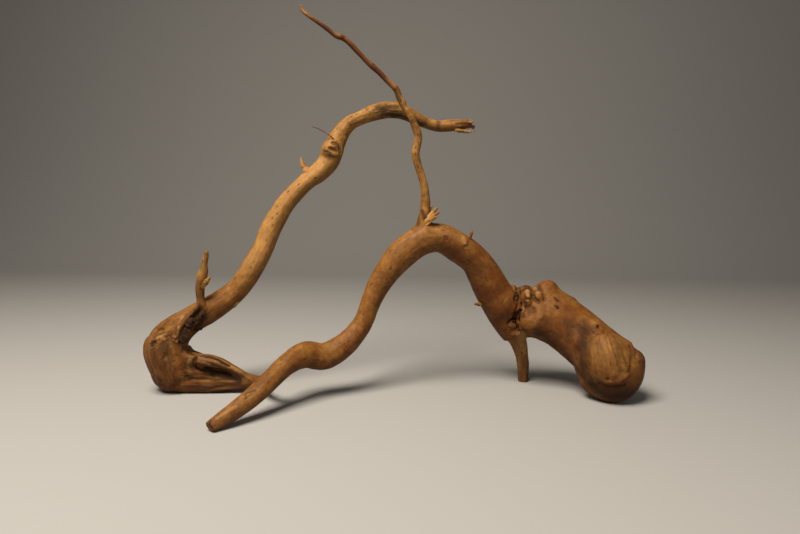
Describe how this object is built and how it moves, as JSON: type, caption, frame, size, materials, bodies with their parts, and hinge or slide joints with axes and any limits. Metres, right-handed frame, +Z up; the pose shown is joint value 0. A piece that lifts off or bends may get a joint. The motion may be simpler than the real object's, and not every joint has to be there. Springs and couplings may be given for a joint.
{
  "type": "spiderwood root",
  "caption": "Bare branching root that arches from a cut front leg to a thick knobbly crown, with a knotted hub, a tall bent stem and a thin shoot.",
  "frame": {"origin": "on the floor plane that the root stands on, under the middle of its bounding box", "axes": "+X along the root's length, from the hub to the crown; +Y away from the side that the picture shows; +Z up"},
  "size_m": [0.4281, 0.1445, 0.3233],
  "materials": {
    "wood": "bare dry wood, smooth and slightly satin on the arch and crown, fibrous on the hub"
  },
  "bodies": {
    "root": {"spiderwood_root": "wood"}
  },
  "joints": []
}
